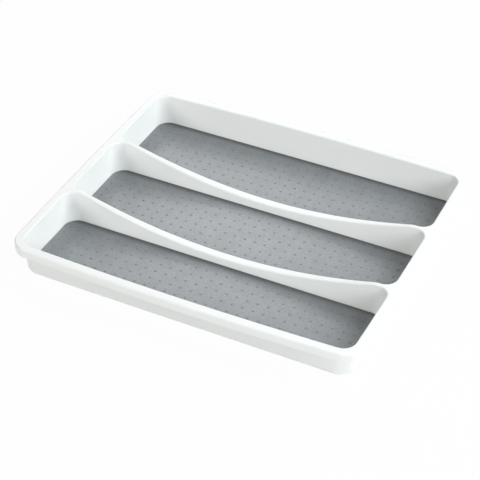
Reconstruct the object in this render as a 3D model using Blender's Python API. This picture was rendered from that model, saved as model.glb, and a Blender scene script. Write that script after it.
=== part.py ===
# Cutlery drawer organizer: a white moulded tray with three long compartments.
# Each compartment is lined with a grey soft mat and the tray stands on six rubber feet.
#
# The tray is one moulding of even thickness, so it is built as two sheets, the
# upper and the lower side of the same wall, joined along the lower edge of the
# rim's skirt. The dividers are hollow from below, as moulded ones are: a slot
# under each follows its dipping top and ends inside the short walls.
# Lengths are in metres. X runs along the compartments, Y across them, Z is up,
# and the origin is on the ground under the middle of the tray.

import math

import bmesh
import bpy

# Overall size, measured over the bowed sides and from the ground to the rim
tray_length = 0.406
tray_width = 0.346
tray_height = 0.042

# How far the middle of each side of the rim stands out beyond its ends
long_side_bow = 0.005
short_side_bow = 0.0016

# Rim: a flat band turned down into a skirt on the outside
rim_width = 0.0099
rim_corner_radius = 0.0212
rim_outer_round = 0.0026
skirt_height = 0.0105
skirt_edge_round = 0.0006

# Walls and floor of the moulding
sheet_thickness = 0.0024
floor_thickness = 0.002
mouth_round = 0.0016
floor_fillet = 0.0018
wall_draft_share = 0.035

# Corners of each compartment, seen from above
mouth_corner_radius = 0.0135
floor_corner_radius = 0.0165

# Dividers: wider at the foot, with a top edge that dips between the ends
compartments = 3
divider_spacing = 0.106
divider_top_width = 0.0048
divider_foot_width = 0.0117
divider_dip = 0.027
dip_shoulder_radius = 0.029
slot_end_slope = 0.008

# Soft mats on the floors
mat_thickness = 0.0016
mat_gap = 0.00035

# Rubber feet, set in shallow round seats in the underside
foot_radius = 0.007
foot_round = 0.0008
foot_drop = 0.002
foot_seat_depth = 0.0009
foot_top_gap = 0.0003
foot_side_gap = 0.0004
foot_end_distance = 0.045

# How finely curves are divided
corner_steps = 6
slot_corner_steps = 3
rim_corner_steps = 8
round_steps = 3
wall_side_steps = 8
shoulder_steps = 4
dip_steps = 14
foot_steps = 32
sharp_edge_angle = math.radians(35)

# Sizes worked out from the ones above
half_length = tray_length / 2 - short_side_bow
half_width = tray_width / 2 - long_side_bow
rim_top = tray_height
pan_bottom = foot_drop
floor_top = pan_bottom + floor_thickness
divider_count = compartments - 1


def wall_inset(height):
    """Distance of the inner wall face from the nominal outline, growing downwards with the draft."""
    return rim_width + wall_draft_share * (rim_top - height)


def divider_half(height):
    """Half the width of a divider at a height."""
    depth_share = (rim_top - height) / (rim_top - floor_top)
    return (divider_top_width + (divider_foot_width - divider_top_width) * depth_share) / 2


def divider_middle(index):
    """Place across the tray of a divider's middle plane."""
    return (index - (divider_count - 1) / 2) * divider_spacing


def corner_radius(height):
    """Radius of a compartment's corners at a height."""
    depth_share = (rim_top - height) / (rim_top - floor_top)
    return mouth_corner_radius + (floor_corner_radius - mouth_corner_radius) * depth_share


floor_reach_y = half_width - wall_inset(floor_top)
dip_reach = half_length - rim_width - mouth_corner_radius

# The dip is a long hollow arc that meets the level ends through a round shoulder
arc_radius_sum = (divider_dip ** 2 + dip_reach ** 2) / (2 * divider_dip)
dip_radius = arc_radius_sum - dip_shoulder_radius
shoulder_start_share = dip_radius / arc_radius_sum


def divider_top(along_share):
    """Height of a divider's top edge, with along_share from -1 to 1 over the length of the dip."""
    along = abs(along_share) * dip_reach
    if abs(along_share) < shoulder_start_share:
        return rim_top - divider_dip + dip_radius - math.sqrt(dip_radius ** 2 - along ** 2)
    beyond = dip_reach - along
    return rim_top - dip_shoulder_radius + math.sqrt(dip_shoulder_radius ** 2 - beyond ** 2)


def bowed(x, y, z, bow_share):
    """Place of a nominal point once the sides stand out by their bow, times bow_share."""
    out_x = short_side_bow * bow_share * (1 - (y / half_width) ** 2)
    out_y = long_side_bow * bow_share * (1 - (x / half_length) ** 2)
    return (x * (1 + out_x / half_length), y * (1 + out_y / half_width), z)


def bow_at(height):
    """The bow fades from the rim to nothing at the foot of the walls."""
    return min(max((height - pan_bottom) / (rim_top - pan_bottom), 0), 1)


def side_shares(is_divider):
    """Stations along a long side, from -1 to 1: close together on a divider's shoulders."""
    if not is_divider:
        return [2 * step / wall_side_steps - 1 for step in range(wall_side_steps + 1)]
    shoulder = 1 - shoulder_start_share
    rising = [1 - shoulder * step / shoulder_steps for step in range(shoulder_steps)]
    middle = [shoulder_start_share * (1 - 2 * step / dip_steps) for step in range(dip_steps + 1)]
    return [-share for share in rising] + [-share for share in middle] + rising[::-1]


def compartment_stations(index):
    """Stations around a compartment, anticlockwise: (x side, y side, angle or None, share, on a divider)."""
    stations = []
    front_divider = index > 0
    back_divider = index < compartments - 1
    corners = ((1, -1, -90), (1, 1, 0), (-1, 1, 90), (-1, -1, 180))
    for side_x, side_y, start in corners:
        for step in range(corner_steps + 1):
            angle = math.radians(start + 90 * step / corner_steps)
            stations.append((side_x, side_y, angle, side_x, False))
        if (side_x, side_y) == (1, 1):
            shares = side_shares(back_divider)[1:-1]
            stations += [(0, 1, None, share, back_divider) for share in reversed(shares)]
        if (side_x, side_y) == (-1, -1):
            shares = side_shares(front_divider)[1:-1]
            stations += [(0, -1, None, share, front_divider) for share in shares]
    return stations


def compartment_point(index, station, height, grow):
    """A point of a compartment's outline at a height, moved outwards by grow."""
    side_x, side_y, angle, share, _ = station
    reach_x = half_length - wall_inset(height) + grow
    if index == 0:
        front = -(half_width - wall_inset(height) + grow)
    else:
        front = divider_middle(index - 1) + divider_half(height) - grow
    if index == compartments - 1:
        back = half_width - wall_inset(height) + grow
    else:
        back = divider_middle(index) - divider_half(height) + grow
    radius = corner_radius(height) + grow
    edge_y = back if side_y > 0 else front
    if angle is None:
        x = share * (reach_x - radius)
        y = edge_y
    else:
        x = side_x * (reach_x - radius) + radius * math.cos(angle)
        y = edge_y - side_y * radius + radius * math.sin(angle)
    return bowed(x, y, height, bow_at(height))


def station_top(station):
    """Height of the moulding's top edge at a station."""
    if station[4]:
        return divider_top(station[3])
    return rim_top


def compartment_ring(bm, index, below_top, height, grow):
    """Vertices of one ring, at a set height or, with height None, at a distance below the top edge."""
    ring = []
    for station in compartment_stations(index):
        level = station_top(station) - below_top if height is None else height
        ring.append(bm.verts.new(compartment_point(index, station, level, grow)))
    return ring


def outline_ring(bm, inset, radius, height, bow_share):
    """Vertices of a ring around the whole tray, at an inset from its nominal outline."""
    reach_x = half_length - inset
    reach_y = half_width - inset
    ring = []
    for side_x, side_y, start in ((1, -1, -90), (1, 1, 0), (-1, 1, 90), (-1, -1, 180)):
        for step in range(rim_corner_steps + 1):
            angle = math.radians(start + 90 * step / rim_corner_steps)
            x = side_x * (reach_x - radius) + radius * math.cos(angle)
            y = side_y * (reach_y - radius) + radius * math.sin(angle)
            ring.append(bm.verts.new(bowed(x, y, height, bow_share)))
        for step in range(1, wall_side_steps):
            share = 1 - 2 * step / wall_side_steps
            if side_x == side_y:
                x = side_x * share * (reach_x - radius)
                y = side_y * reach_y
            else:
                x = side_x * reach_x
                y = side_y * share * (reach_y - radius)
            ring.append(bm.verts.new(bowed(x, y, height, bow_share)))
    return ring


def rim_ring(bm, inset, height):
    """Vertices of a ring around the rim, at an inset from its outer face."""
    return outline_ring(bm, inset, rim_corner_radius - inset, height, 1)


def wall_ring(bm, height, pulled_in):
    """Vertices of a ring on the outside of the outer wall, or pulled in from it."""
    inset = wall_inset(height) - sheet_thickness + pulled_in
    radius = corner_radius(height) + sheet_thickness - pulled_in
    return outline_ring(bm, inset, radius, height, bow_at(height))


def join_rings(bm, rings):
    """Closed bands of faces between rings of equal count."""
    for first, second in zip(rings, rings[1:]):
        count = len(first)
        for place in range(count):
            after = (place + 1) % count
            bm.faces.new((first[place], first[after], second[after], second[place]))


def closed_edges(bm, ring):
    """The edges around a ring, made where they are missing."""
    edges = []
    for place, vert in enumerate(ring):
        after = ring[(place + 1) % len(ring)]
        edges.append(bm.edges.get((vert, after)) or bm.edges.new((vert, after)))
    return edges


def fill_between(bm, edges, upwards):
    """Flat faces between closed loops of edges."""
    normal = (0, 0, 1) if upwards else (0, 0, -1)
    bmesh.ops.triangle_fill(bm, use_beauty=True, use_dissolve=False, edges=edges, normal=normal)


def level_edges(bm, outer_ring, mouth_rings):
    """Edges around the level part of the rim: its outer edge, and the mouths except along the dividers."""
    edges = closed_edges(bm, outer_ring)
    for index, ring in enumerate(mouth_rings):
        stations = compartment_stations(index)
        for place, edge in enumerate(closed_edges(bm, ring)):
            after = (place + 1) % len(ring)
            if not stations[place][4] and not stations[after][4]:
                edges.append(edge)
    return edges


def divider_rows(ring, index, side_y):
    """The vertices of a compartment's mouth along a divider, in order of rising X, ends included."""
    stations = compartment_stations(index)
    along = [place for place, station in enumerate(stations) if station[4] and station[1] == side_y]
    first = along[0] - 1
    last = (along[-1] + 1) % len(ring)
    row = [ring[first]] + [ring[place] for place in along] + [ring[last]]
    return row if side_y < 0 else row[::-1]


def bridge_dividers(bm, mouth_rings):
    """The top of each divider, between the mouths on its two sides. Returns its end edges."""
    ends = []
    for index in range(divider_count):
        near = divider_rows(mouth_rings[index], index, 1)
        far = divider_rows(mouth_rings[index + 1], index + 1, -1)
        for place in range(len(near) - 1):
            bm.faces.new((near[place], near[place + 1], far[place + 1], far[place]))
        ends.append(bm.edges.get((near[0], far[0])))
        ends.append(bm.edges.get((near[-1], far[-1])))
    return ends


def quarter(steps):
    """Angles of a quarter circle, both ends included."""
    return [math.pi / 2 * step / steps for step in range(steps + 1)]


def upper_side(bm):
    """The side of the moulding that is seen from above. Returns the ring at the skirt's lower edge."""
    mouths = []
    for index in range(compartments):
        rings = []
        for angle in quarter(round_steps):
            drop = mouth_round * (1 - math.cos(angle))
            rings.append(compartment_ring(bm, index, drop, None, mouth_round * (1 - math.sin(angle))))
        for angle in quarter(round_steps):
            height = floor_top + floor_fillet * (1 - math.sin(angle))
            rings.append(compartment_ring(bm, index, 0, height, -floor_fillet * (1 - math.cos(angle))))
        join_rings(bm, rings)
        bm.faces.new(rings[-1])
        mouths.append(rings[0])
    outer = []
    for angle in quarter(round_steps + 1):
        inset = rim_outer_round * (1 - math.sin(angle))
        outer.append(rim_ring(bm, inset, rim_top - rim_outer_round * (1 - math.cos(angle))))
    outer.append(rim_ring(bm, 0, rim_top - skirt_height + skirt_edge_round))
    outer.append(rim_ring(bm, skirt_edge_round, rim_top - skirt_height))
    join_rings(bm, outer)
    ends = bridge_dividers(bm, mouths)
    fill_between(bm, level_edges(bm, outer[0], mouths) + ends, True)
    return outer[-1]


def floor_middle(index):
    """Place across the tray of the middle of a compartment's floor."""
    front = -floor_reach_y
    back = floor_reach_y
    if index > 0:
        front = divider_middle(index - 1) + divider_foot_width / 2
    if index < compartments - 1:
        back = divider_middle(index) - divider_foot_width / 2
    return (front + back) / 2


def foot_places():
    """Centres of the feet, two under each compartment, named by where they are."""
    rows = ("front", "middle", "back")
    reach = half_length - foot_end_distance
    places = []
    for index in range(compartments):
        y = floor_middle(index)
        places.append(("foot_" + rows[index] + "_left", -reach, y))
        places.append(("foot_" + rows[index] + "_right", reach, y))
    return places


def round_ring(bm, x, y, radius, height):
    """Vertices of a circle about a foot's axis."""
    ring = []
    for step in range(foot_steps):
        angle = 2 * math.pi * step / foot_steps
        ring.append(bm.verts.new((x + radius * math.cos(angle), y + radius * math.sin(angle), height)))
    return ring


def foot_seat(bm, x, y):
    """A shallow round seat in the underside. Returns the edges of its mouth."""
    radius = foot_radius + foot_side_gap
    mouth = round_ring(bm, x, y, radius, pan_bottom)
    top = round_ring(bm, x, y, radius, pan_bottom + foot_seat_depth)
    join_rings(bm, [mouth, top])
    bm.faces.new(top)
    return closed_edges(bm, mouth)


def slot_stations():
    """Stations around a divider's slot, anticlockwise: (side of the divider, end, turn share or None, share)."""
    shares = side_shares(True)
    turns = [step / slot_corner_steps for step in range(1, slot_corner_steps + 1)]
    stations = []
    for side in (-1, 1):
        end = -side
        stations += [(side, 0, None, end * share) for share in shares]
        stations += [(side, end, turn, end) for turn in turns]
        stations += [(-side, end, turn, end) for turn in reversed(turns)]
    return stations


def slot_point(index, station, height, grow):
    """A point of the slot under a divider, where the compartments beside it are moved outwards by grow."""
    side, end, turn, share = station
    middle = divider_middle(index)
    radius = corner_radius(height)
    corner_x = half_length - wall_inset(height) - radius
    if turn is None:
        x = share * corner_x
        y = middle + side * (divider_half(height) - grow)
    else:
        pull = slot_end_slope * (rim_top - height) / (rim_top - pan_bottom)
        last = math.acos((radius - pull) / (radius + grow))
        angle = math.pi / 2 + (last - math.pi / 2) * turn
        x = end * (corner_x + (radius + grow) * math.cos(angle))
        y = middle + side * (divider_half(height) + radius - (radius + grow) * math.sin(angle))
    return bowed(x, y, height, bow_at(height))


def slot_ring(bm, index, height, grow):
    """Vertices of one ring of a slot, at a set height or, with height None, just under the divider's top."""
    ring = []
    for station in slot_stations():
        level = height
        if level is None:
            level = divider_top(station[3]) - sheet_thickness
        ring.append(bm.verts.new(slot_point(index, station, level, grow)))
    return ring


def divider_slot(bm, index, outside_fillet):
    """The hollow under a divider, open below. Returns the edges of its mouth."""
    rings = [slot_ring(bm, index, None, sheet_thickness)]
    for angle in quarter(round_steps + 1):
        height = pan_bottom + outside_fillet * (1 - math.sin(angle))
        rings.append(slot_ring(bm, index, height, sheet_thickness - outside_fillet * (1 - math.cos(angle))))
    join_rings(bm, rings)
    roof = rings[0]
    half = len(roof) // 2
    along = len(side_shares(True))
    near = roof[:along]
    far = roof[half:half + along][::-1]
    for place in range(along - 1):
        bm.faces.new((near[place], near[place + 1], far[place + 1], far[place]))
    bm.faces.new(roof[along - 1:half + 1])
    bm.faces.new(roof[half + along - 1:] + roof[:1])
    return closed_edges(bm, rings[-1])


def lower_side(bm):
    """The underside of the moulding. Returns the ring at the skirt's lower edge."""
    outside_fillet = floor_fillet + sheet_thickness
    wall_rings = [wall_ring(bm, rim_top - sheet_thickness, 0)]
    for angle in quarter(round_steps + 1):
        height = pan_bottom + outside_fillet * (1 - math.sin(angle))
        wall_rings.append(wall_ring(bm, height, outside_fillet * (1 - math.cos(angle))))
    join_rings(bm, wall_rings)
    underside = closed_edges(bm, wall_rings[-1])
    for index in range(divider_count):
        underside += divider_slot(bm, index, outside_fillet)
    for _, x, y in foot_places():
        underside += foot_seat(bm, x, y)
    fill_between(bm, underside, False)
    skirt_inner = rim_ring(bm, sheet_thickness, rim_top - sheet_thickness)
    skirt_foot = rim_ring(bm, sheet_thickness, rim_top - skirt_height)
    join_rings(bm, [skirt_inner, skirt_foot])
    fill_between(bm, closed_edges(bm, skirt_inner) + closed_edges(bm, wall_rings[0]), False)
    return skirt_foot


def finish(name, bm, material):
    """Turn a finished body into an object of its own: faces out, smooth, with true edges kept sharp."""
    bmesh.ops.recalc_face_normals(bm, faces=bm.faces)
    for face in bm.faces:
        face.smooth = True
    for edge in bm.edges:
        edge.smooth = edge.calc_face_angle(0) < sharp_edge_angle
    mesh = bpy.data.meshes.new(name)
    bm.to_mesh(mesh)
    bm.free()
    mesh.materials.append(material)
    part = bpy.data.objects.new(name, mesh)
    bpy.context.scene.collection.objects.link(part)
    return part


def plain_material(name, colour, roughness):
    """A plain non-metallic material."""
    material = bpy.data.materials.new(name)
    material.use_nodes = True
    shader = material.node_tree.nodes["Principled BSDF"]
    shader.inputs["Base Color"].default_value = (*colour, 1)
    shader.inputs["Roughness"].default_value = roughness
    shader.inputs["Metallic"].default_value = 0
    return material


def build_tray(material):
    """The white moulding."""
    bm = bmesh.new()
    join_rings(bm, [upper_side(bm), lower_side(bm)])
    return finish("tray_body", bm, material)


def build_mat(name, index, material):
    """A soft mat that covers one floor, fillet and all, with an even gap to the moulding."""
    edge_round = floor_fillet - mat_gap
    bm = bmesh.new()
    rings = [compartment_ring(bm, index, 0, floor_top + mat_gap + mat_thickness, -mat_gap)]
    for angle in quarter(round_steps):
        height = floor_top + floor_fillet - edge_round * math.sin(angle)
        rings.append(compartment_ring(bm, index, 0, height, edge_round * math.cos(angle) - floor_fillet))
    join_rings(bm, rings)
    bm.faces.new(rings[0])
    bm.faces.new(rings[-1])
    return finish(name, bm, material)


def build_foot(name, x, y, material):
    """A round rubber foot with a rounded lower edge."""
    bm = bmesh.new()
    rings = [round_ring(bm, x, y, foot_radius, pan_bottom + foot_seat_depth - foot_top_gap)]
    for angle in quarter(round_steps):
        radius = foot_radius - foot_round * (1 - math.cos(angle))
        rings.append(round_ring(bm, x, y, radius, foot_round * (1 - math.sin(angle))))
    join_rings(bm, rings)
    bm.faces.new(rings[0])
    bm.faces.new(rings[-1])
    return finish(name, bm, material)


def main():
    for old in list(bpy.data.objects):
        bpy.data.objects.remove(old, do_unlink=True)
    build_tray(plain_material("white_plastic", (0.84, 0.85, 0.84), 0.38))
    mat_names = ("mat_front", "mat_middle", "mat_back")
    for index in range(compartments):
        grey = plain_material("grey_soft_mat_" + mat_names[index], (0.27, 0.29, 0.31), 0.75)
        build_mat(mat_names[index], index, grey)
    for name, x, y in foot_places():
        rubber = plain_material("grey_rubber_" + name, (0.12, 0.125, 0.13), 0.8)
        build_foot(name, x, y, rubber)


main()
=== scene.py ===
"""Cutlery drawer organizer: the finished look of the white tray, its soft mats and its rubber feet.

The tray is one moulding. Its form is a handful of formulas for the inset of the walls, the corner
radius and the height of the dividers, and every surface below is those formulas on whole arrays.
Lengths are in metres. X runs along the compartments, Y across them and Z is up.
"""

import math

import bmesh
import bpy
import numpy as np
from bpy.props import FloatProperty, FloatVectorProperty, IntProperty, PointerProperty
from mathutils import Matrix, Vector


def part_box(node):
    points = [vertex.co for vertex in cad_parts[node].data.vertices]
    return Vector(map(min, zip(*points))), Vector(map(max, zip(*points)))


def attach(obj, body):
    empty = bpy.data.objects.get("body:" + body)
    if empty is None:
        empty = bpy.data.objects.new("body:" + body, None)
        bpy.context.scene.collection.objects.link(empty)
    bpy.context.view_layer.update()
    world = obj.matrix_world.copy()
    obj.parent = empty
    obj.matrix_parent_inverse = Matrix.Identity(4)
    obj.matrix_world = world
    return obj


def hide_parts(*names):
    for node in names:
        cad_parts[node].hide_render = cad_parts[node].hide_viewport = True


bl_info = {
    "name": "Cutlery Drawer Organizer",
    "version": (1, 0, 0),
    "blender": (4, 5, 0),
    "location": "3D View > Sidebar > Organizer",
    "description": "Builds a white cutlery tray with soft mats and rubber feet, and a plain studio",
    "category": "Add Mesh",
}

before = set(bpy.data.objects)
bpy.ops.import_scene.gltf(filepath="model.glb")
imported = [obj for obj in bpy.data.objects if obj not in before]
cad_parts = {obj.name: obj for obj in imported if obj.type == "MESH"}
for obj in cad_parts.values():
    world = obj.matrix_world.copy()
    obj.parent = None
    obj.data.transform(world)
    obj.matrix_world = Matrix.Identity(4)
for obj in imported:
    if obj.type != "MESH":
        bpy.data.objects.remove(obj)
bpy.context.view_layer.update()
tray_low, tray_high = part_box("tray_body")
mat_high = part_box("mat_middle")[1]
foot_low, foot_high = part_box("foot_front_left")
rows = ("front", "middle", "back")
ends = ("left", "right")

# Places of the rings along a flat stretch of a section, as shares of it. The ones close to an end keep
# the smooth shading of the round next to it off the flat.
land_shares = (0, 0.08, 0.5, 0.92)
inner_wall_shares = (0.02, 0.1, 0.3, 0.5, 0.7, 0.9, 0.98)
skirt_shares = (0.1, 0.5, 0.9)
skirt_inside_shares = (0.1, 0.9)
outer_wall_shares = (0.05, 0.3, 0.6, 0.95)
slot_shares = (0, 0.05, 0.35, 0.65, 0.95)

# Angles from a dome's axis at which its rings lie. The first two share a radius: the foot and the rim.
dome_angles = np.radians([90, 90, 72, 50, 26])
dome_points = 12

# The power of the share of its width that gives the height of the mats' border.
curl_power = 2.5

# Steps of a foot's two curves. Its upper edge is cut by a share of its round, and the hollow of its sole
# runs between two shares of its radius.
foot_round_steps = 8
sole_steps = 8
foot_top_share = 0.4
sole_ring_share = 0.72
sole_middle_share = 0.1

# Points of a surface closer than the first are joined, and no sine that divides is below the second.
weld_distance = 2e-6
least_sine = 1e-9

# Numbers of the sockets of a Mix node for colours.
mix_amount, mix_first, mix_second, mix_result = 0, 6, 7, 2


def length(name, description, default):
    """A length that a user can change."""
    return FloatProperty(
        name=name, description=description, default=default, min=0, unit="LENGTH", precision=5,
    )


def colour(name, description, default):
    """A colour that a user can change."""
    return FloatVectorProperty(
        name=name, description=description, default=default, min=0, max=1, size=3, subtype="COLOR",
    )


def place(name, description, default):
    """A place along and across that a user can change."""
    return FloatVectorProperty(
        name=name, description=description, default=default, size=2, unit="LENGTH", precision=5,
    )


def view_angle(name, description, degrees):
    """An angle that a user can change, given in degrees."""
    return FloatProperty(name=name, description=description, default=math.radians(degrees), subtype="ANGLE")


def share(name, description, default):
    """A plain number that a user can change."""
    return FloatProperty(name=name, description=description, default=default, min=0)


def steps(name, description, default):
    """A number of steps in which a curve is divided."""
    return IntProperty(name=name, description=description, default=default, min=2)


class TraySizes(bpy.types.PropertyGroup):
    """Sizes of the moulding"""

    long_side_bow: length("Long side bow", "How far the middle of a long side stands out", 0.005)
    short_side_bow: length("Short side bow", "How far the middle of a short side stands out", 0.0016)
    rim_width: length("Rim width", "Width of the rim, from its outer face to the inner wall", 0.0099)
    rim_corner: length("Rim corner", "Radius of the tray's corners, seen from above", 0.0212)
    rim_round: length("Rim round", "Radius of the rim's outer edge", 0.002)
    skirt_height: length("Skirt height", "How far the rim turns down on the outside", 0.0105)
    skirt_round: length("Skirt round", "Radius of the skirt's lower edges", 0.0006)
    sheet: length("Wall thickness", "Thickness of the moulding's walls", 0.0024)
    floor_thickness: length("Floor thickness", "Thickness of the moulding's floor", 0.002)
    mouth_round: length("Mouth round", "Radius of a compartment's upper edge", 0.0016)
    floor_fillet: length("Floor fillet", "Radius between the walls and the floor", 0.0018)
    mouth_corner: length("Mouth corner", "Radius of a compartment's corners at the top", 0.0135)
    floor_corner: length("Floor corner", "Radius of a compartment's corners at the floor", 0.0165)
    spacing: length("Divider spacing", "Distance between the middles of the dividers", 0.106)
    divider_top: length("Divider top", "Width of a divider at the level of the rim", 0.0048)
    divider_foot: length("Divider foot", "Width of a divider at the floor", 0.0117)
    dip: length("Dip", "How far the top of a divider dips in the middle", 0.027)
    shoulder: length("Dip shoulder", "Radius where the dip meets the level ends", 0.029)
    slot_slope: length("Slot end slope", "How far the end of the slot under a divider leans in", 0.008)
    draft: share("Draft", "How far the walls lean in for each unit of depth", 0.035)
    corner_steps: steps("Corner steps", "Steps around a corner", 20)
    side_steps: steps("Side steps", "Steps along half of a side", 20)
    dip_steps: steps("Dip steps", "Steps along half of a divider's hollow arc", 40)
    round_steps: steps("Round steps", "Steps around a small edge", 6)


class MatSizes(bpy.types.PropertyGroup):
    """Sizes of the soft mats and their dots"""

    gap: length("Gap", "Gap between a mat and the moulding", 0.00035)
    edge_round: length("Edge round", "Radius of a mat's upper edge", 0.0003)
    curl_width: length("Curl width", "Width of the border that curves up towards the walls", 0.0085)
    curl_height: length("Curl height", "Height of that border at the wall", 0.0014)
    pitch: length("Dot pitch", "Distance from one raised dot to the next, along and across", 0.01225)
    dot_radius: length("Dot radius", "Radius of a raised dot", 0.0015)
    dot_height: length("Dot height", "Height of a raised dot", 0.0005)
    dot_margin: length("Dot margin", "Least distance from a dot's middle to the wall", 0.0045)
    front_phase: place("Front dots", "Where a dot of the front mat stands", (0.00044, 0.01211))
    middle_phase: place("Middle dots", "Where a dot of the middle mat stands", (0.00147, 0.00604))
    back_phase: place("Back dots", "Where a dot of the back mat stands", (0.0, 0.00451))


class FootSizes(bpy.types.PropertyGroup):
    """Sizes of the rubber feet"""

    round: length("Foot round", "Radius of a foot's lower edge", 0.0008)
    seat_depth: length("Seat depth", "Depth of the seat in the underside", 0.0009)
    side_gap: length("Side gap", "Gap between a foot and the side of its seat", 0.0004)
    hollow: length("Hollow", "Depth of the hollow in the middle of a foot's sole", 0.0003)
    steps: steps("Foot steps", "Steps around a foot", 72)


class FinishColours(bpy.types.PropertyGroup):
    """Colours of the finishes"""

    plastic: colour("Plastic", "White of the moulding", (0.83, 0.84, 0.83))
    plastic_shade: colour("Plastic shade", "Deeper white where the plastic flowed", (0.80, 0.815, 0.805))
    mat: colour("Mat", "Grey of the mats", (0.216, 0.232, 0.243))
    mat_fleck: colour("Mat fleck", "Darker grey of the mats' grain", (0.145, 0.158, 0.167))
    mat_dot: colour("Mat dot", "Grey of the raised dots", (0.14, 0.152, 0.16))
    # Painted shade: a near-black that the mats take on along the foot of the long walls, standing in for the
    # shade that falls there.
    mat_border: colour("Mat border", "Grey of the mats' border at the long walls", (0.04, 0.045, 0.048))
    rubber: colour("Rubber", "Grey of the feet", (0.12, 0.125, 0.13))
    rubber_dust: colour("Rubber dust", "Paler grey of the feet's bloom", (0.17, 0.172, 0.175))
    floor: colour("Studio floor", "Colour of the floor", (0.65, 0.65, 0.65))


class StudioSettings(bpy.types.PropertyGroup):
    """The studio's camera and light"""

    azimuth: view_angle("Azimuth", "Camera's turn about the tray", 26.218)
    elevation: view_angle("Elevation", "Camera's height as an angle", 38.931)
    distance: length("Camera distance", "From the point looked at", 1.6514)
    target: FloatVectorProperty(
        name="Target", description="Point that the camera looks at", default=(0.00598, -0.0275, 0.02014),
        size=3, subtype="TRANSLATION",
    )
    lens: FloatProperty(
        name="Lens", description="Focal length in millimetres", default=113.5, subtype="DISTANCE_CAMERA",
    )
    sky: share("Sky", "Strength of the even light from all round", 0.0)
    lamp_distance: length("Lamp distance", "From the tray's middle to each lamp", 2.2)
    lamp_size: length("Lamp size", "Width of each round lamp", 1.0)
    lamp_level: share("Lamp level", "Strength of all the lamps together", 1.0)
    floor_size: length("Floor size", "Side of the studio floor", 8)
    floor_white: share("Floor white", "Share of plain white in what the camera sees of the floor", 0.97)


settings_groups = {
    "organizer_tray": TraySizes,
    "organizer_mats": MatSizes,
    "organizer_feet": FootSizes,
    "organizer_colours": FinishColours,
    "organizer_studio": StudioSettings,
}


def quarter(count):
    """Angles of a quarter turn in even steps, both ends included."""
    return np.linspace(0, math.pi / 2, count + 1)


def mix(first, second, amount):
    """The point an amount of the way from the first to the second."""
    return first + (second - first) * amount


class Stations:
    """Places around a closed outline, in arrays.

    A rounded outline is a box with a circle rolled round it. A station is a place on the box, u and v
    from -1 to 1, and the direction (dx, dy) in which the circle's radius is added.
    """

    def __init__(self, **arrays):
        self.names = tuple(arrays)
        for name, values in arrays.items():
            setattr(self, name, np.asarray(values))

    def part(self, chosen):
        """Some of the stations."""
        return Stations(**{name: getattr(self, name)[chosen] for name in self.names})

    @staticmethod
    def joined(groups):
        """Groups one after another, where the end of each is the start of the next."""
        return Stations(**{
            name: np.concatenate([getattr(group, name)[:-1] for group in groups]) for name in groups[0].names
        })


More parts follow.
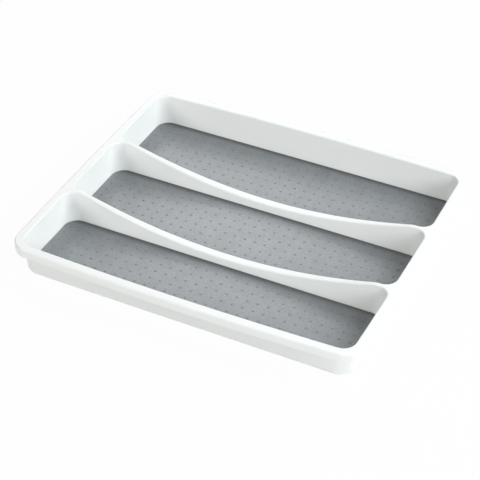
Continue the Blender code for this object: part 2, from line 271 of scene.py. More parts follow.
class Moulding:
    """The tray's form. Heights, places and shares may all be arrays."""

    def __init__(self, sizes):
        self.sizes = sizes
        self.reach_x = tray_high.x - sizes.short_side_bow
        self.reach_y = tray_high.y - sizes.long_side_bow
        self.top = tray_high.z
        self.under = tray_low.z
        self.floor = self.under + sizes.floor_thickness
        self.cells = len(rows)
        # The dip's arc and its shoulders touch: their centres are arc_radius + shoulder apart.
        self.dip_reach = self.reach_x - sizes.rim_width - sizes.mouth_corner
        self.arc_sum = (sizes.dip**2 + self.dip_reach**2) / (2 * sizes.dip)
        self.arc_radius = self.arc_sum - sizes.shoulder
        self.shoulder_start = self.arc_radius / self.arc_sum

    def inset(self, z):
        """Inset of the inner wall: the rim's width, and the draft times the depth."""
        return self.sizes.rim_width + self.sizes.draft * (self.top - z)

    def depth_share(self, z):
        """0 at the rim and 1 at the floor."""
        return (self.top - z) / (self.top - self.floor)

    def divider_half(self, z):
        """Half a divider's width, which grows evenly from the top to the foot."""
        return mix(self.sizes.divider_top, self.sizes.divider_foot, self.depth_share(z)) / 2

    def corner(self, z):
        """Radius of a compartment's corners, which changes evenly from the mouth to the floor."""
        return mix(self.sizes.mouth_corner, self.sizes.floor_corner, self.depth_share(z))

    def divider_middle(self, index):
        """Place across the tray of a divider's middle plane."""
        return (index - (self.cells - 2) / 2) * self.sizes.spacing

    def divider_height(self, along):
        """Height of a divider's top: a long hollow arc, then a round shoulder up to the rim."""
        x = np.abs(along) * self.dip_reach
        below = np.sqrt(np.maximum(self.arc_radius**2 - x**2, 0))
        arc = self.top - self.sizes.dip + self.arc_radius - below
        beyond = np.maximum(self.sizes.shoulder**2 - (self.dip_reach - x) ** 2, 0)
        shoulder = self.top - self.sizes.shoulder + np.sqrt(beyond)
        return np.where(np.abs(along) < self.shoulder_start, arc, shoulder)

    def fade(self, z):
        """The share of the bow at a height: all of it at the rim, none at the underside."""
        return np.clip((z - self.under) / (self.top - self.under), 0, 1)

    def bowed(self, x, y, z, amount):
        """Points of the real outline: each side stands out by its bow times 1 - (place along it) squared."""
        out_x = self.sizes.short_side_bow * amount * (1 - (y / self.reach_y) ** 2)
        out_y = self.sizes.long_side_bow * amount * (1 - (x / self.reach_x) ** 2)
        x, y, z = np.broadcast_arrays(x * (1 + out_x / self.reach_x), y * (1 + out_y / self.reach_y), z)
        return np.stack([x, y, z], -1)

    def box_x(self, z):
        """Half the length of the box that a compartment's corner circles roll round."""
        return self.reach_x - self.inset(z) - self.corner(z)

    def box_y(self, index, z):
        """Front and back of that box, from the wall or divider on each side of the compartment."""
        wall = self.reach_y - self.inset(z) - self.corner(z)
        front, back = -wall, wall
        if index > 0:
            front = self.divider_middle(index - 1) + self.divider_half(z) + self.corner(z)
        if index < self.cells - 1:
            back = self.divider_middle(index) - self.divider_half(z) - self.corner(z)
        return front, back

    def cell_ring(self, index, stations, z, grow):
        """A ring around a compartment: the box's place plus (corner radius + grow) times the direction."""
        front, back = self.box_y(index, z)
        radius = self.corner(z) + grow
        x = stations.u * self.box_x(z) + radius * stations.dx
        y = mix(front, back, (1 + stations.v) / 2) + radius * stations.dy
        return self.bowed(x, y, z, self.fade(z))

    def rim_ring(self, path, inset, z):
        """A ring around the rim at an inset from its outer face, concentric at the corners."""
        radius = self.sizes.rim_corner - inset
        x = path.u * (self.reach_x - self.sizes.rim_corner) + radius * path.dx
        y = path.v * (self.reach_y - self.sizes.rim_corner) + radius * path.dy
        return self.bowed(x, y, z, 1)

    def wall_ring(self, path, z, pulled_in):
        """A ring on the outside of the outer wall, or pulled in from it."""
        radius = self.corner(z) + self.sizes.sheet - pulled_in
        x = path.u * self.box_x(z) + radius * path.dx
        y = path.v * (self.reach_y - self.inset(z) - self.corner(z)) + radius * path.dy
        return self.bowed(x, y, z, self.fade(z))

    def quadrant(self, index, side_x, side_y):
        """Stations of a quarter of a compartment, from the middle of its short side to that of its long side.

        Each station also has the height of the mouth there and the place where the level land around the
        mouth ends: on the rim's path, at (ru, rv) with direction (rx, ry), or at x on the divider's middle.
        """
        sizes = self.sizes
        on_divider = not (index == 0 and side_y < 0 or index == self.cells - 1 and side_y > 0)
        box_x = self.box_x(self.top)
        front, back = self.box_y(index, self.top)
        centre = back if side_y > 0 else front
        half = sizes.side_steps // 2
        short = np.linspace(0, 1, half + 1)[:-1]
        if on_divider:
            middle = self.divider_middle(index if side_y > 0 else index - 1)
            reach = self.reach_x - sizes.rim_round - box_x
            across = abs(middle - centre)
            turn = math.atan2(across, reach)
            steps_low = round(sizes.corner_steps * turn / (math.pi / 2))
            low_angles = np.linspace(0, turn, steps_low + 1)
            high_angles = np.linspace(turn, math.pi / 2, sizes.corner_steps - steps_low + 1)
            angles = np.concatenate([low_angles[:-1], high_angles])
            shoulder = np.linspace(1, self.shoulder_start, sizes.round_steps + 1)
            arc = np.linspace(self.shoulder_start, 0, sizes.dip_steps + 1)
            along = np.concatenate([shoulder[1:-1], arc])
        else:
            angles = quarter(sizes.corner_steps)
            along = np.linspace(1, 0, sizes.side_steps + 1)[1:]
        corner_end = half + len(angles)
        u = np.concatenate([np.ones(corner_end), along])
        v = np.concatenate([short, np.ones(len(angles) + len(along))])
        dx = np.concatenate([np.ones(half), np.cos(angles), np.zeros(len(along))])
        dy = np.concatenate([np.zeros(half), np.sin(angles), np.ones(len(along))])
        dx[corner_end - 1] = 0
        height = np.full(len(u), self.top)
        rim_box_y = self.reach_y - sizes.rim_corner
        cell_middle = (front + back) / 2
        if on_divider:
            height[corner_end:] = self.divider_height(along)
            tangent = np.tan(np.minimum(angles, turn))
            corner_y = centre + side_y * reach * tangent
            edge_y = np.concatenate([mix(cell_middle, centre, short), corner_y, np.zeros(len(along))])
            at_rim = np.arange(len(u)) <= half + steps_low
            beyond = box_x + across * np.cos(angles) / np.maximum(np.sin(angles), least_sine)
            on_top = along * self.box_x(height[corner_end:])
            middle_x = np.concatenate([np.zeros(half), np.minimum(beyond, self.reach_x), on_top])
            ru, rx, ry = np.ones(len(u)), np.ones(len(u)), np.zeros(len(u))
            rv = edge_y / rim_box_y
        else:
            middle = 0.0
            at_rim = np.full(len(u), True)
            middle_x = np.zeros(len(u))
            ru, rx, ry = u, dx, dy
            rv = mix(cell_middle, side_y * rim_box_y, v) / rim_box_y
        return Stations(
            u=side_x * u, v=side_y * v, dx=side_x * dx, dy=side_y * dy, height=height, at_rim=at_rim,
            ru=side_x * ru, rv=rv, rx=side_x * rx, ry=side_y * ry,
            middle_x=side_x * middle_x, middle_y=np.full(len(u), middle),
        )

    def quadrants(self, index):
        """The four quarters of a compartment in anticlockwise order, each running anticlockwise."""
        found = []
        for side_x, side_y in ((1, -1), (1, 1), (-1, 1), (-1, -1)):
            stations = self.quadrant(index, side_x, side_y)
            backwards = side_x * side_y < 0
            found.append(stations.part(slice(None, None, -1)) if backwards else stations)
        return found

    def rim_path(self):
        """The stations around the whole rim: those of every compartment whose land ends at the rim."""
        right = [q for index in range(self.cells) for q in self.quadrants(index)[:2]]
        left = [q for index in reversed(range(self.cells)) for q in self.quadrants(index)[2:]]
        outer = Stations.joined([q.part(q.at_rim) for q in right + left])
        return Stations(u=outer.ru, v=outer.rv, dx=outer.rx, dy=outer.ry)

    def land_edge(self, stations):
        """Where the level land around a mouth ends: on the rim, or on a divider's middle line."""
        path = Stations(u=stations.ru, v=stations.rv, dx=stations.rx, dy=stations.ry)
        rim = self.rim_ring(path, self.sizes.rim_round, stations.height)
        height = stations.height
        middle = self.bowed(stations.middle_x, stations.middle_y, height, self.fade(height))
        return np.where(stations.at_rim[:, None], rim, middle)


class Shell:
    """A mesh put together from patches: grids of quads and flat caps."""

    def __init__(self):
        self.points = []
        self.painted_shade_weights = []
        self.faces = []
        self.flat = []
        self.count = 0

    def add(self, points, faces, flat, border=0.0):
        """Add points with their weights of painted shade, and faces whose corners are numbered from the first
        point.
        """
        self.points.append(points.reshape(-1, 3))
        self.painted_shade_weights.append(np.broadcast_to(border, points.shape[:-1]).ravel())
        self.faces += (self.count + faces).tolist()
        self.flat += [flat] * len(faces)
        self.count += points.size // 3

    def grid(self, rings, closed=True, border=0.0):
        """Quads between rows of points: a point, the next one, and the two on the next row.

        The last three axes of the array are row, place in the row, and coordinate. Any axes before
        them number separate grids.
        """
        rings = np.asarray(rings)
        corner = np.arange(rings.size // 3).reshape(rings.shape[:-1])
        if closed:
            corner = np.concatenate([corner, corner[..., :1]], -1)
        near, far = corner[..., :-1, :], corner[..., 1:, :]
        quads = np.stack([near[..., :-1], near[..., 1:], far[..., 1:], far[..., :-1]], -1)
        self.add(rings, quads.reshape(-1, 4), False, border)

    def cap(self, ring, flat=True):
        """One face inside a ring, or inside each of several rings."""
        ring = np.asarray(ring)
        corner = np.arange(ring.size // 3).reshape(-1, ring.shape[-2])
        self.add(ring, corner, flat)

    def piece(self, name):
        """The finished object: seams welded, what is open below filled flat, faces out."""
        mesh = bpy.data.meshes.new(name)
        mesh.from_pydata(np.concatenate(self.points).tolist(), [], self.faces)
        mesh.polygons.foreach_set("use_smooth", [not flat for flat in self.flat])
        # Each point's weight of the mats' painted shade is kept as a point attribute.
        border = mesh.attributes.new("border", "FLOAT", "POINT")
        border.data.foreach_set("value", np.concatenate(self.painted_shade_weights))
        bm = bmesh.new()
        bm.from_mesh(mesh)
        bmesh.ops.remove_doubles(bm, verts=bm.verts, dist=weld_distance)
        open_edges = [edge for edge in bm.edges if edge.is_boundary]
        if open_edges:
            filled = bmesh.ops.triangle_fill(
                bm, use_beauty=True, use_dissolve=False, edges=open_edges, normal=(0, 0, -1),
            )
            for item in filled["geom"]:
                if isinstance(item, bmesh.types.BMFace):
                    item.smooth = False
        bmesh.ops.recalc_face_normals(bm, faces=bm.faces)
        if any(not edge.is_manifold for edge in bm.edges):
            raise RuntimeError(name + " isn't closed")
        bm.to_mesh(mesh)
        bm.free()
        made = bpy.data.objects.new(name, mesh)
        bpy.context.scene.collection.objects.link(made)
        return made


def compartment_side(shell, form, index):
    """A compartment from above: level land, rounded mouth, drafted wall, fillet and floor."""
    sizes = form.sizes
    stations = Stations.joined(form.quadrants(index))
    mouth = form.cell_ring(index, stations, stations.height, sizes.mouth_round)
    edge = form.land_edge(stations)
    rings = [mix(edge, mouth, amount) for amount in land_shares]
    for angle in quarter(sizes.round_steps):
        drop = sizes.mouth_round * (1 - math.cos(angle))
        grow = sizes.mouth_round * (1 - math.sin(angle))
        rings.append(form.cell_ring(index, stations, stations.height - drop, grow))
    upper = stations.height - sizes.mouth_round
    lower = form.floor + sizes.floor_fillet
    for amount in inner_wall_shares:
        rings.append(form.cell_ring(index, stations, mix(upper, lower, amount), 0))
    for angle in quarter(sizes.round_steps):
        level = np.full(len(stations.u), form.floor + sizes.floor_fillet * (1 - math.sin(angle)))
        rings.append(form.cell_ring(index, stations, level, -sizes.floor_fillet * (1 - math.cos(angle))))
    shell.grid(rings)
    shell.cap(rings[-1])


def rim_and_walls(shell, form):
    """The outside: the rim's round edge, its skirt, the way back up inside it, and the outer wall."""
    sizes = form.sizes
    path = form.rim_path()
    rings = []
    for angle in quarter(2 * sizes.round_steps):
        inset = sizes.rim_round * (1 - math.sin(angle))
        rings.append(form.rim_ring(path, inset, form.top - sizes.rim_round * (1 - math.cos(angle))))
    skirt_foot = form.top - sizes.skirt_height
    skirt_top = form.top - sizes.rim_round
    skirt_low = skirt_foot + sizes.skirt_round
    for amount in skirt_shares:
        rings.append(form.rim_ring(path, 0, mix(skirt_top, skirt_low, amount)))
    for angle in quarter(sizes.round_steps):
        inset = sizes.skirt_round * (1 - math.cos(angle))
        rings.append(form.rim_ring(path, inset, skirt_foot + sizes.skirt_round * (1 - math.sin(angle))))
    for angle in quarter(sizes.round_steps):
        inset = sizes.sheet - sizes.skirt_round * (1 - math.sin(angle))
        rings.append(form.rim_ring(path, inset, skirt_foot + sizes.skirt_round * (1 - math.cos(angle))))
    under_rim = form.top - sizes.sheet
    wall_top = under_rim - sizes.skirt_round
    for amount in skirt_inside_shares:
        rings.append(form.rim_ring(path, sizes.sheet, mix(skirt_low, wall_top, amount)))
    for angle in quarter(sizes.round_steps):
        inset = sizes.sheet + sizes.skirt_round * (1 - math.cos(angle))
        rings.append(form.rim_ring(path, inset, under_rim - sizes.skirt_round * (1 - math.sin(angle))))
    for angle in quarter(sizes.round_steps):
        level = under_rim - sizes.skirt_round * (1 - math.cos(angle))
        rings.append(form.wall_ring(path, level, -sizes.skirt_round * (1 - math.sin(angle))))
    fillet = sizes.floor_fillet + sizes.sheet
    for amount in outer_wall_shares:
        rings.append(form.wall_ring(path, mix(wall_top, form.under + fillet, amount), 0))
    for angle in quarter(2 * sizes.round_steps):
        level = form.under + fillet * (1 - math.sin(angle))
        rings.append(form.wall_ring(path, level, fillet * (1 - math.cos(angle))))
    shell.grid(rings)


def slot_row(form, index, side, along, turn, z, grow):
    """One long side of the slot under a divider: straight, with ends round the compartments' corners."""
    radius = form.corner(z)
    lean = form.sizes.slot_slope * (form.top - z) / (form.top - form.under)
    last = np.arccos((radius - lean) / (radius + grow))
    angle = math.pi / 2 + (last - math.pi / 2) * np.abs(turn)
    x = along * form.box_x(z) + np.sign(turn) * (radius + grow) * np.cos(angle)
    y = form.divider_middle(index) + side * (form.divider_half(z) + radius - (radius + grow) * np.sin(angle))
    return form.bowed(x, y, z, form.fade(z))


def divider_slot(shell, form, index):
    """The hollow under a divider, open below: its roof runs under the dipping top."""
    sizes = form.sizes
    shoulder = np.linspace(1, form.shoulder_start, sizes.round_steps + 1)[:-1]
    arc = np.linspace(form.shoulder_start, -form.shoulder_start, sizes.dip_steps + 1)
    straight = np.concatenate([shoulder, arc, -shoulder[::-1]])[::-1]
    turns = np.linspace(0, 1, sizes.corner_steps // 2 + 1)[1:]
    along = np.concatenate([-np.ones(len(turns)), straight, np.ones(len(turns))])
    turn = np.concatenate([-turns[::-1], np.zeros(len(straight)), turns])
    roof = form.divider_height(along) - sizes.sheet
    fillet = sizes.floor_fillet + sizes.sheet
    foot = form.under + fillet
    levels = [(mix(roof, foot, amount), sizes.sheet) for amount in slot_shares]
    for angle in quarter(sizes.round_steps):
        level = np.full(len(along), form.under + fillet * (1 - math.sin(angle)))
        levels.append((level, sizes.sheet - fillet * (1 - math.cos(angle))))
    rings = []
    for level, grow in levels:
        near = slot_row(form, index, -1, along, turn, level, grow)
        far = slot_row(form, index, 1, along, turn, level, grow)
        rings.append(np.concatenate([near, far[::-1]]))
    shell.grid(rings)
    near, far = rings[0][:len(along)], rings[0][len(along):][::-1]
    shell.grid([near, far], closed=False)


def circle(centre, radius, z, count):
    """A level ring of points about a centre."""
    turn = np.linspace(0, 2 * math.pi, count, endpoint=False)
    x = centre.x + radius * np.cos(turn)
    y = centre.y + radius * np.sin(turn)
    return np.stack([x, y, np.full(count, z)], -1)


def foot_names():
    """Names of the feet's solids."""
    return ["foot_" + row + "_" + end for row in rows for end in ends]


def foot_centre(name):
    """Axis of a foot, from its solid."""
    low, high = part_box(name)
    return (low + high) / 2


def moulded_tray(sizes, feet):
    """The whole moulding as one closed surface."""
    form = Moulding(sizes)
    shell = Shell()
    for index in range(form.cells):
        compartment_side(shell, form, index)
    rim_and_walls(shell, form)
    for index in range(form.cells - 1):
        divider_slot(shell, form, index)
    for name in foot_names():
        seat = (foot_high.x - foot_low.x) / 2 + feet.side_gap
        levels = (form.under, form.under + feet.seat_depth)
        rings = [circle(foot_centre(name), seat, level, feet.steps) for level in levels]
        shell.grid(rings)
        shell.cap(rings[-1])
    return shell.piece("moulded_tray")


def raised_dots(shell, form, mats, index, top):
    """Domes in a square grid: radius times the sine of an angle, height times its cosine.

    A place of the grid gets a dome where it lies inside the compartment's rounded outline, less a margin.
    Each dome's foot is as far below the mat's face as its top is above it.
    """
    phase = getattr(mats, rows[index] + "_phase")
    count = int(2 * form.reach_x / mats.pitch)
    number = np.arange(-count, count + 1)
    x, y = np.meshgrid(phase[0] + number * mats.pitch, phase[1] + number * mats.pitch)
    front, back = form.box_y(index, top)
    beyond_x = np.maximum(np.abs(x) - form.box_x(top), 0)
    beyond_y = np.maximum(np.abs(y - (front + back) / 2) - (back - front) / 2, 0)
    inside = np.hypot(beyond_x, beyond_y) < form.corner(top) - mats.dot_margin
    centres = np.stack([x[inside], y[inside]], -1)
    turn = np.linspace(0, 2 * math.pi, dome_points, endpoint=False)
    radius = mats.dot_radius * np.sin(dome_angles)
    height = top + mats.dot_height * np.cos(dome_angles)
    height[0] -= mats.dot_height
    around = np.stack([np.cos(turn), np.sin(turn)], -1)
    level = centres[:, None, None, :] + radius[None, :, None, None] * around
    height = np.broadcast_to(height[None, :, None, None], (*level.shape[:-1], 1))
    rings = np.concatenate([level, height], -1)
    shell.grid(rings)
    shell.cap(rings[:, 0])
    shell.cap(rings[:, -1], flat=False)


def soft_mat(sizes, mats, index):
    """A mat that covers a floor, fillet and all: its section is carried round the compartment's outline.

    From the flat middle outwards the section curls up, its height the share of the border's width
    to the curl's power. Then come a small quarter round over the edge and an arc that follows the
    fillet of the floor down and inwards. A point attribute holds that share, times how far the
    outline's direction points across the tray, squared: 1 at the long walls and 0 at the ends. It
    weights the painted shade, the mat's colour darkened along the foot of the long walls.
    """
    form = Moulding(sizes)
    shell = Shell()
    stations = Stations.joined(form.quadrants(index))
    even = np.ones(len(stations.u))
    top = mat_high.z
    inner = sizes.floor_fillet - mats.gap
    flat = top - mats.curl_height
    border = np.linspace(0, 1, 2 * sizes.round_steps + 1)
    rings = []
    for share_out in border:
        inset = mats.gap + mats.edge_round + mats.curl_width * (1 - share_out)
        level = (flat + mats.curl_height * share_out**curl_power) * even
        rings.append(form.cell_ring(index, stations, level, -inset))
    for angle in quarter(sizes.round_steps)[1:]:
        level = (top - mats.edge_round * (1 - math.cos(angle))) * even
        inset = mats.gap + mats.edge_round * (1 - math.sin(angle))
        rings.append(form.cell_ring(index, stations, level, -inset))
    for angle in quarter(sizes.round_steps):
        level = (form.floor + sizes.floor_fillet - inner * math.sin(angle)) * even
        if level[0] < top - mats.edge_round:
            grow = inner * math.cos(angle) - sizes.floor_fillet
            rings.append(form.cell_ring(index, stations, level, grow))
    # Past the curl the weight stays 1. Times the direction across, squared, it weights the painted shade at
    # the long walls.
    border = np.append(border, np.ones(len(rings) - len(border)))
    shell.grid(rings, border=border[:, None] * stations.dy**2)
    shell.cap(rings[0])
    shell.cap(rings[-1])
    raised_dots(shell, form, mats, index, flat)
    return shell.piece("soft_mat_" + rows[index])


def rubber_foot(feet, name):
    """A foot turned about its axis: flat top, round lower edge, and a sole that is hollow in the middle.

    The hollow's depth is the sine, squared, of an angle that grows evenly inwards to a right angle.
    """
    low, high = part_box(name)
    radius = (high.x - low.x) / 2
    angles = quarter(foot_round_steps)
    edge_radii = radius - feet.round * (1 - np.cos(angles))
    edge_levels = low.z + feet.round * (1 - np.sin(angles))
    inward = np.linspace(0, 1, sole_steps + 1)
    hollow_radii = mix(radius * sole_ring_share, sole_middle_share * radius, inward)
    hollow_levels = low.z + feet.hollow * np.sin(quarter(sole_steps)) ** 2
    chamfer = feet.round * foot_top_share
    radii = np.concatenate([[radius - chamfer, radius], edge_radii, hollow_radii])
    levels = np.concatenate([[high.z, high.z - chamfer], edge_levels, hollow_levels])
    centre = foot_centre(name)
    rings = [circle(centre, r, z, feet.steps) for r, z in zip(radii, levels)]
    shell = Shell()
    shell.grid(rings)
    shell.cap(rings[0])
    shell.cap(rings[-1])
    return shell.piece("rubber_" + name)


class Value:
    """A number that varies over a surface. Python's operators on it add Math nodes."""

    def __init__(self, finish, socket):
        self.finish = finish
        self.socket = socket

    def math(self, operation, *others, backwards=False):
        """The result of a Math node on this value and others."""
        terms = [self, *others]
        if backwards:
            terms.reverse()
        node = self.finish.node("ShaderNodeMath", {"operation": operation}, dict(enumerate(terms)))
        return node.value(0)

    def __add__(self, other):
        return self.math("ADD", other)

    __radd__ = __add__

    def __mul__(self, other):
        return self.math("MULTIPLY", other)

    __rmul__ = __mul__

    def __sub__(self, other):
        return self.math("SUBTRACT", other)

    def __rsub__(self, other):
        return self.math("SUBTRACT", other, backwards=True)

    def __truediv__(self, other):
        return self.math("DIVIDE", other)

    def below(self, edge, width):
        """1 well below an edge and 0 well above it, with a soft step of a width."""
        return self.finish.node("ShaderNodeMapRange", {"interpolation_type": "SMOOTHSTEP"}, {
            "Value": self, "From Min": edge - width / 2, "From Max": edge + width / 2,
            "To Min": 1.0, "To Max": 0.0,
        }).value("Result")


class Node:
    """A node of a finish, whose outputs come as values."""

    def __init__(self, finish, node):
        self.finish = finish
        self.node = node

    def value(self, name):
        """An output by its name or number."""
        return Value(self.finish, self.node.outputs[name])


class Finish:
    """A material or world under construction."""

    def __init__(self, owner):
        self.owner = owner
        owner.use_nodes = True
        self.tree = owner.node_tree

    def node(self, kind, settings=None, inputs=None):
        """Add a node: its settings come first, then the values or links of its sockets."""
        node = self.tree.nodes.new(kind)
        for name, setting in (settings or {}).items():
            setattr(node, name, setting)
        self.feed(node, inputs or {})
        return Node(self, node)

    def feed(self, node, inputs):
        """Set a node's sockets, by name or number, to values or links."""
        for name, given in inputs.items():
            socket = node.inputs[name]
            if isinstance(given, Value):
                self.tree.links.new(given.socket, socket)
            elif hasattr(given, "__len__") and len(given) == 3 and socket.type == "RGBA":
                socket.default_value = (*given, 1)
            else:
                socket.default_value = given

    def noise(self, place, scale, detail=2.0, roughness=0.5):
        """Smooth noise from 0 to 1, with about scale waves to the metre."""
        return self.node("ShaderNodeTexNoise", None, {
            "Vector": place, "Scale": scale, "Detail": detail, "Roughness": roughness,
        }).value("Fac")

    def blend(self, amount, first, second):
        """A colour between two colours."""
        node = self.node("ShaderNodeMix", {"data_type": "RGBA"})
        self.feed(node.node, {mix_amount: amount, mix_first: first, mix_second: second})
        return node.value(mix_result)

    def bump(self, height, distance, strength=1.0):
        """A normal that follows a height from 0 to 1 times a distance."""
        return self.node("ShaderNodeBump", None, {
            "Height": height, "Distance": distance, "Strength": strength,
        }).value("Normal")

    def surface(self, **inputs):
        """Set the main shader's sockets. Underscores in a name stand for spaces."""
        shader = self.tree.nodes["Principled BSDF"]
        self.feed(shader, {name.replace("_", " "): given for name, given in inputs.items()})


def new_finish(name):
    """A finish for a new material."""
    return Finish(bpy.data.materials.new(name))


def plastic_finish(colours):
    """Satin white plastic: a fine moulded grain, faint flow marks and slightly uneven gloss."""
    finish = new_finish("satin_white_plastic")
    place = finish.node("ShaderNodeTexCoord").value("Object")
    grain = finish.noise(place, scale=2600)
    flow = finish.noise(place, scale=9, detail=3.0, roughness=0.6)
    scuff = finish.noise(place, scale=140, detail=4.0, roughness=0.7)
    finish.surface(
        Base_Color=finish.blend(flow, colours.plastic_shade, colours.plastic),
        Roughness=0.36 + 0.08 * flow + 0.06 * scuff,
        Normal=finish.bump(grain + 0.4 * scuff, distance=0.00003, strength=0.5),
        IOR=1.49,
    )
    return finish.owner


def mat_finish(colours, mats, row):
    """Grey soft-touch mat: mottled and grained, darker on the raised dots, and painted near-black along the
    foot of the long walls as their shade.

    A dot is where the distance to the nearest point of the grid is below the dot's radius. The distance
    comes from each coordinate less its nearest multiple of the pitch.
    """
    finish = new_finish("grey_soft_mat_" + row)
    phase = getattr(mats, row + "_phase")
    place = finish.node("ShaderNodeTexCoord").value("Object")
    shifted = finish.node("ShaderNodeMapping", {"vector_type": "POINT"}, {
        "Vector": place, "Location": (-phase[0], -phase[1], 0),
    }).value("Vector")
    parts = finish.node("ShaderNodeSeparateXYZ", None, {0: shifted})
    across = []
    for axis in ("X", "Y"):
        count = parts.value(axis) / mats.pitch
        across.append((count - count.math("ROUND")) * mats.pitch)
    distance = (across[0] * across[0] + across[1] * across[1]).math("SQRT")
    dot = distance.below(mats.dot_radius, width=0.7 * mats.dot_radius)
    # The weight of the painted shade at the mats' long walls, read from the mesh.
    border = finish.node("ShaderNodeAttribute", {"attribute_name": "border"}).value("Fac")
    fleck = finish.noise(place, scale=480, detail=4.0, roughness=0.65)
    patch = finish.noise(place, scale=55)
    fine = finish.noise(place, scale=3500)
    mottle = (0.25 * patch + 0.75 * fleck).below(0.5, width=0.35)
    mottled = finish.blend(mottle, colours.mat, colours.mat_fleck)
    dotted = finish.blend(dot, mottled, colours.mat_dot)
    # Painted shade: towards the long walls the colour turns near-black, standing in for the shade at their
    # foot.
    painted_wall_shade = 1 - border.below(0.62, width=0.9)
    finish.surface(
        Base_Color=finish.blend(painted_wall_shade, dotted, colours.mat_border),
        Roughness=0.4 + 0.1 * fleck - 0.06 * dot,
        Normal=finish.bump(0.7 * fleck + 0.3 * fine, distance=0.00008, strength=0.7),
        Specular_IOR_Level=0.9,
    )
    return finish.owner


def rubber_finish(colours):
    """Dull dark rubber with a pale bloom and a fine grain."""
    finish = new_finish("dull_grey_rubber")
    place = finish.node("ShaderNodeTexCoord").value("Object")
    bloom = finish.noise(place, scale=260, detail=4.0, roughness=0.65)
    grain = finish.noise(place, scale=4000)
    finish.surface(
        Base_Color=finish.blend(bloom, colours.rubber, colours.rubber_dust),
        Roughness=0.7 + 0.2 * bloom,
        Normal=finish.bump(grain, distance=0.00004, strength=0.6),
    )
    return finish.owner


def dress(piece, material, slot, *nodes):
    """Give a piece its material and its place on the part, and hide the parts that it stands in for."""
    piece.data.materials.append(material)
    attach(piece, "root")
    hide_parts(*nodes)


class ORGANIZER_OT_tray(bpy.types.Operator):
    """Build the white moulding"""

    bl_idname = "organizer.tray"
    bl_label = "Moulded Tray"

    def execute(self, context):
        scene = context.scene
        piece = moulded_tray(scene.organizer_tray, scene.organizer_feet)
        dress(piece, plastic_finish(scene.organizer_colours), "white_plastic", "tray_body")
        return {"FINISHED"}


class ORGANIZER_OT_mats(bpy.types.Operator):
    """Build the soft mats"""

    bl_idname = "organizer.mats"
    bl_label = "Soft Mats"

    def execute(self, context):
        scene = context.scene
        for index, row in enumerate(rows):
            piece = soft_mat(scene.organizer_tray, scene.organizer_mats, index)
            material = mat_finish(scene.organizer_colours, scene.organizer_mats, row)
            dress(piece, material, "grey_mat", "mat_" + row)
        return {"FINISHED"}


class ORGANIZER_OT_feet(bpy.types.Operator):
    """Build the rubber feet"""

    bl_idname = "organizer.feet"
    bl_label = "Rubber Feet"

    def execute(self, context):
        scene = context.scene
        material = rubber_finish(scene.organizer_colours)
        for name in foot_names():
            dress(rubber_foot(scene.organizer_feet, name), material, "grey_rubber", name)
        return {"FINISHED"}


cool_light = (0.96, 0.985, 1.0)
warm_light = (1.0, 0.995, 0.965)

# Each lamp's name, turn about the tray and height in degrees, strength and tint.
studio_lamps = (
    ("high_back_right_lamp", 120, 42, 0.62, cool_light),
    ("right_side_lamp", 90, 25, 0.12, cool_light),
    ("right_lamp", 60, 25, 0.46, cool_light),
    ("high_right_lamp", 60, 42, 0.14, cool_light),
    ("back_left_lamp", 210, 25, 0.2, cool_light),
    ("high_back_left_lamp", 210, 42, 0.14, cool_light),
    ("left_lamp", 300, 25, 0.09, warm_light),
    ("front_left_lamp", 330, 25, 0.41, warm_light),
)


def outward(azimuth, elevation):
    """Direction from the tray at a turn about it and a height, both as angles."""
    flat = math.cos(elevation)
    return Vector((math.sin(azimuth) * flat, -math.cos(azimuth) * flat, math.sin(elevation)))


def round_lamp(studio, name, azimuth, elevation, strength, tint):
    """A soft round lamp that faces the tray. At strength 1 white turned towards it renders as white.

    That takes pi times the distance, squared, in watts.
    """
    lamp = bpy.data.lights.new(name, "AREA")
    lamp.shape = "DISK"
    lamp.size = studio.lamp_size
    lamp.color = tint
    lamp.energy = studio.lamp_level * strength * (math.pi * studio.lamp_distance) ** 2
    made = bpy.data.objects.new(name, lamp)
    direction = outward(math.radians(azimuth), math.radians(elevation))
    made.location = direction * studio.lamp_distance
    made.rotation_euler = direction.to_track_quat("Z", "Y").to_euler()
    bpy.context.scene.collection.objects.link(made)


def seen_directly(finish):
    """1 where the camera sees a thing, straight or in gloss or glass."""
    rays = finish.node("ShaderNodeLightPath")
    names = ("Is Camera Ray", "Is Glossy Ray", "Is Transmission Ray")
    camera, glossy, through = (rays.value(name) for name in names)
    return camera.math("MAXIMUM", glossy).math("MAXIMUM", through)


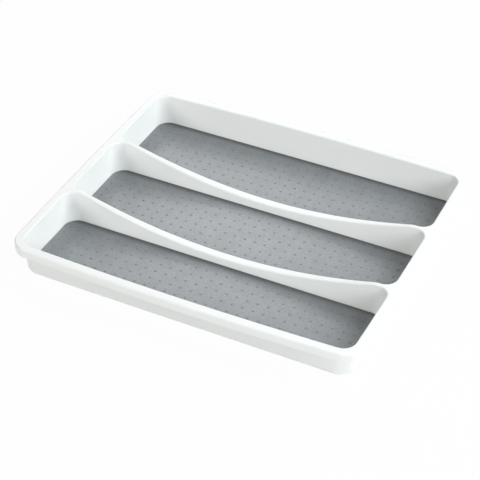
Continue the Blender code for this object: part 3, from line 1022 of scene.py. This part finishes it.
class ORGANIZER_OT_stage(bpy.types.Operator):
    """Build the studio: floor, even light, lamps and camera"""

    bl_idname = "organizer.stage"
    bl_label = "Studio"

    def execute(self, context):
        scene = context.scene
        studio = scene.organizer_studio
        half = studio.floor_size / 2
        mesh = bpy.data.meshes.new("studio_floor")
        corners = [(-half, -half, 0), (half, -half, 0), (half, half, 0), (-half, half, 0)]
        mesh.from_pydata(corners, [], [(0, 1, 2, 3)])
        floor = bpy.data.objects.new("studio_floor", mesh)
        scene.collection.objects.link(floor)
        finish = new_finish("pale_studio_floor")
        grain = finish.noise(finish.node("ShaderNodeTexCoord").value("Object"), scale=300)
        finish.surface(Base_Color=scene.organizer_colours.floor, Roughness=0.8 + 0.1 * grain)
        lit = finish.tree.nodes["Principled BSDF"].outputs["BSDF"]
        white = finish.node("ShaderNodeEmission", None, {"Color": (1, 1, 1), "Strength": 1.0})
        seen = seen_directly(finish) * studio.floor_white
        shaders = {0: seen, 1: Value(finish, lit), 2: white.value("Emission")}
        mixed = finish.node("ShaderNodeMixShader", None, shaders)
        finish.feed(finish.tree.nodes["Material Output"], {"Surface": mixed.value(0)})
        floor.data.materials.append(finish.owner)
        world = bpy.data.worlds.new("studio_air")
        scene.world = world
        air = Finish(world)
        seen = seen_directly(air)
        backdrop = air.tree.nodes["Background"]
        backdrop.inputs["Color"].default_value = (1, 1, 1, 1)
        air.feed(backdrop, {"Strength": studio.sky + (1 - studio.sky) * seen})
        for lamp in studio_lamps:
            round_lamp(studio, *lamp)
        self.camera(scene, studio)
        scene.view_settings.view_transform = "Standard"
        return {"FINISHED"}

    def camera(self, scene, studio):
        """A level camera at the angle of the photograph."""
        lens = bpy.data.cameras.new("studio_camera")
        lens.lens = studio.lens
        camera = bpy.data.objects.new("studio_camera", lens)
        back = outward(studio.azimuth, studio.elevation)
        camera.location = Vector(studio.target) + back * studio.distance
        camera.rotation_euler = (-back).to_track_quat("-Z", "Y").to_euler()
        scene.collection.objects.link(camera)
        scene.camera = camera


operators = (ORGANIZER_OT_tray, ORGANIZER_OT_mats, ORGANIZER_OT_feet, ORGANIZER_OT_stage)


class ORGANIZER_PT_panel(bpy.types.Panel):
    """Lists the pieces of the organizer"""

    bl_idname = "ORGANIZER_PT_panel"
    bl_label = "Cutlery Organizer"
    bl_space_type = "VIEW_3D"
    bl_region_type = "UI"
    bl_category = "Organizer"

    def draw(self, context):
        for operator in operators:
            self.layout.operator(operator.bl_idname)


classes = (*settings_groups.values(), *operators, ORGANIZER_PT_panel)


def register():
    for item in classes:
        bpy.utils.register_class(item)
    for name, group in settings_groups.items():
        setattr(bpy.types.Scene, name, PointerProperty(type=group))


def unregister():
    for name in settings_groups:
        delattr(bpy.types.Scene, name)
    for item in reversed(classes):
        bpy.utils.unregister_class(item)


def main():
    register()
    bpy.ops.organizer.tray()
    bpy.ops.organizer.mats()
    bpy.ops.organizer.feet()
    bpy.ops.organizer.stage()


if __name__ == "__main__":
    main()
